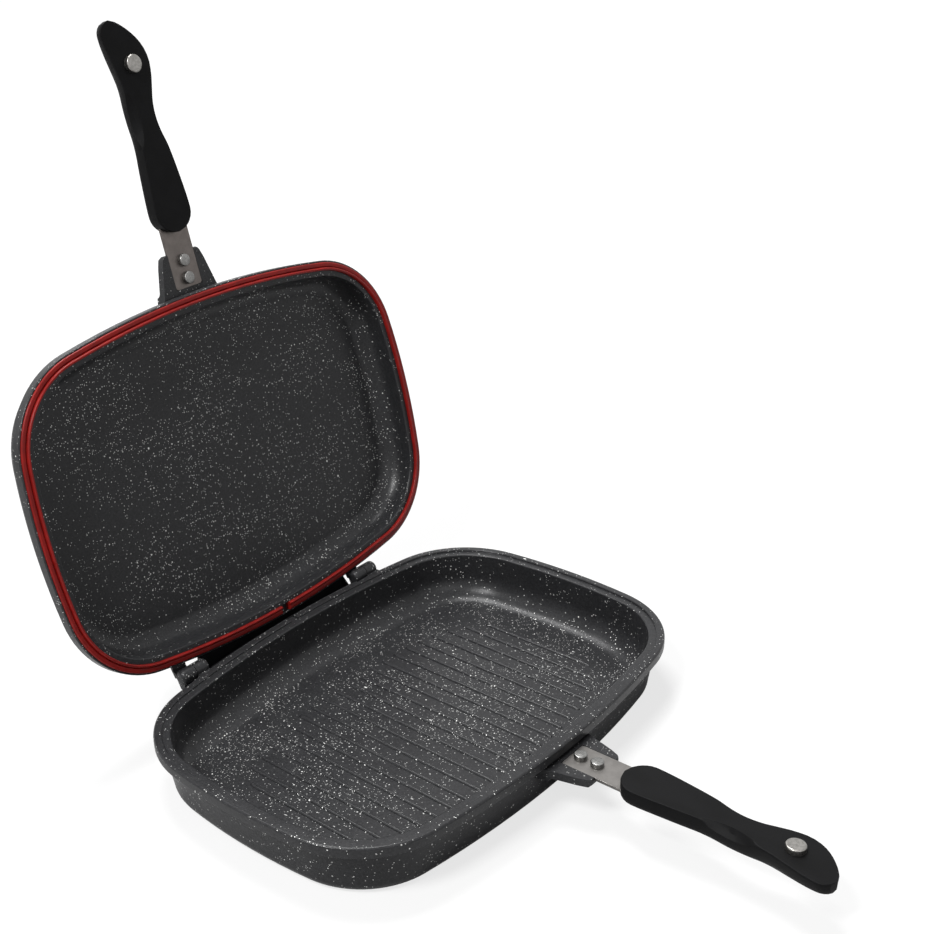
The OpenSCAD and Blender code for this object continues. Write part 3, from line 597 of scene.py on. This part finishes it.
def make_surround():
    """A surround that looks white and lights the pan softly."""
    look = bpy.context.scene.pan_studio
    world = bpy.data.worlds.new("white_surround")
    bpy.context.scene.world = world
    world.use_nodes = True
    nodes, links = world.node_tree.nodes, world.node_tree.links
    background = nodes["Background"]
    background.inputs["Color"].default_value = (1, 1, 1, 1)
    strength = nodes.new("ShaderNodeMapRange")
    strength.inputs["To Min"].default_value = look.sky
    strength.inputs["To Max"].default_value = 1.0
    links.new(seen_as_white(nodes, links), strength.inputs["Value"])
    links.new(strength.outputs["Result"], background.inputs["Strength"])


def pale_floor(look):
    """A grey floor for the pan's light, which the camera sees near white with a soft shadow."""
    f = Finish("pale_floor")
    f.wear(Base_Color=(look.floor_light,) * 3, Roughness=0.9, Specular_IOR_Level=0.1)
    distance = f.add("ShaderNodeVectorMath", operation="LENGTH")
    f.feed(distance.inputs[0], f.place)
    glow = f.add("ShaderNodeEmission")
    f.feed(glow.inputs["Strength"], f.ramp(distance.outputs["Value"], look.glow_start,
                                           look.glow_end, look.glow_near, look.glow_far))
    shadow = f.add("ShaderNodeBsdfDiffuse")
    f.feed(shadow.inputs["Color"], (look.floor_shadow,) * 3)
    seen = f.add("ShaderNodeAddShader")
    f.feed(seen.inputs[0], glow.outputs["Emission"])
    f.feed(seen.inputs[1], shadow.outputs["BSDF"])
    choice = f.add("ShaderNodeMixShader")
    f.feed(choice.inputs[0], f.add("ShaderNodeLightPath").outputs["Is Camera Ray"])
    f.feed(choice.inputs[1], f.shader.outputs["BSDF"])
    f.feed(choice.inputs[2], seen.outputs["Shader"])
    f.feed(f.nodes["Material Output"].inputs["Surface"], choice.outputs["Shader"])
    return f.material


def make_floor():
    """A wide round floor under the pan."""
    look = bpy.context.scene.pan_studio
    bm = bmesh.new()
    bmesh.ops.create_circle(bm, cap_ends=True, segments=96, radius=look.floor_radius)
    mesh = bpy.data.meshes.new("floor")
    bm.to_mesh(mesh)
    bm.free()
    floor = bpy.data.objects.new("floor", mesh)
    bpy.context.scene.collection.objects.link(floor)
    mesh.materials.append(pale_floor(look))


def add_lamp(name, place, width, power):
    """A square softbox that looks at the pan."""
    target = Vector((0.0, 0.05, 0.12))
    data = bpy.data.lights.new(name, "AREA")
    data.size = width
    data.energy = power
    lamp = bpy.data.objects.new(name, data)
    lamp.location = place
    lamp.rotation_mode = "QUATERNION"
    lamp.rotation_quaternion = (target - Vector(place)).to_track_quat("-Z", "Y")
    bpy.context.scene.collection.objects.link(lamp)


def make_lamps():
    """A lamp behind the pan for its sheen, one on the left, and a weak one in front."""
    add_lamp("top_softbox", (0.36, 0.70, 2.10), width=0.8, power=42)
    add_lamp("left_softbox", (-1.5, 0.05, 2.0), width=0.6, power=46)
    add_lamp("front_softbox", (-0.8, -1.9, 1.6), width=1.2, power=6)


def make_view():
    bpy.context.scene.view_settings.view_transform = "Standard"


# ------------------------------------------------------------------------------ operators
def piece_operator(suffix, label, note, makers):
    """An operator class that runs some makers in turn."""

    def execute(self, context):
        for make in makers:
            make()
        return {"FINISHED"}

    return type(f"FLIPPAN_OT_{suffix}", (bpy.types.Operator,), {
        "__doc__": note,
        "bl_idname": f"flippan.{suffix}",
        "bl_label": label,
        "bl_options": {"REGISTER", "UNDO"},
        "execute": execute,
    })


OPERATORS = [
    piece_operator("stage", "Stage", "Camera, floor, surround and lamps",
                   (make_camera, make_surround, make_floor, make_lamps, make_view)),
    piece_operator("lower_pan", "Lower pan", "Ribbed lower pan in its coating", (make_lower_pan,)),
    piece_operator("upper_pan", "Upper pan", "Smooth upper pan in its coating", (make_upper_pan,)),
    piece_operator("seal", "Seal", "Red silicone gasket", (make_seal,)),
    piece_operator("tray", "Drip tray", "Black drip tray", (make_tray,)),
    piece_operator("pins", "Hinge pins", "Two steel hinge pins", (make_pins,)),
    piece_operator("straps", "Straps", "Brushed steel straps", (make_straps,)),
    piece_operator("rivets", "Rivets", "Two pairs of rivets", (make_rivets,)),
    piece_operator("grips", "Handles", "Moulded handles", (make_grips,)),
    piece_operator("screws", "Handle screws", "Screws and washers in the handles", (make_screws,)),
    piece_operator("magnets", "Magnets", "Magnets and their steel caps", (make_magnets,)),
]


class FLIPPAN_PT_pieces(bpy.types.Panel):
    """Lists the pieces that can be made."""

    bl_idname = "FLIPPAN_PT_pieces"
    bl_label = "Flip Pan"
    bl_space_type = "VIEW_3D"
    bl_region_type = "UI"
    bl_category = "Flip Pan"

    def draw(self, context):
        for operator in OPERATORS:
            self.layout.operator(operator.bl_idname)


SETTINGS = {
    "pan_coating": CoatingSettings,
    "pan_metal": MetalSettings,
    "pan_grip": GripSettings,
    "pan_seal": SealSettings,
    "pan_studio": StudioSettings,
}
CLASSES = [*SETTINGS.values(), *OPERATORS, FLIPPAN_PT_pieces]


def register():
    for cls in CLASSES:
        bpy.utils.register_class(cls)
    for name, group in SETTINGS.items():
        setattr(bpy.types.Scene, name, PointerProperty(type=group))


def unregister():
    for name in SETTINGS:
        delattr(bpy.types.Scene, name)
    for cls in reversed(CLASSES):
        bpy.utils.unregister_class(cls)


def main():
    register()
    for operator in OPERATORS:
        getattr(bpy.ops.flippan, operator.bl_idname.split(".")[1])()


if __name__ == "__main__":
    main()
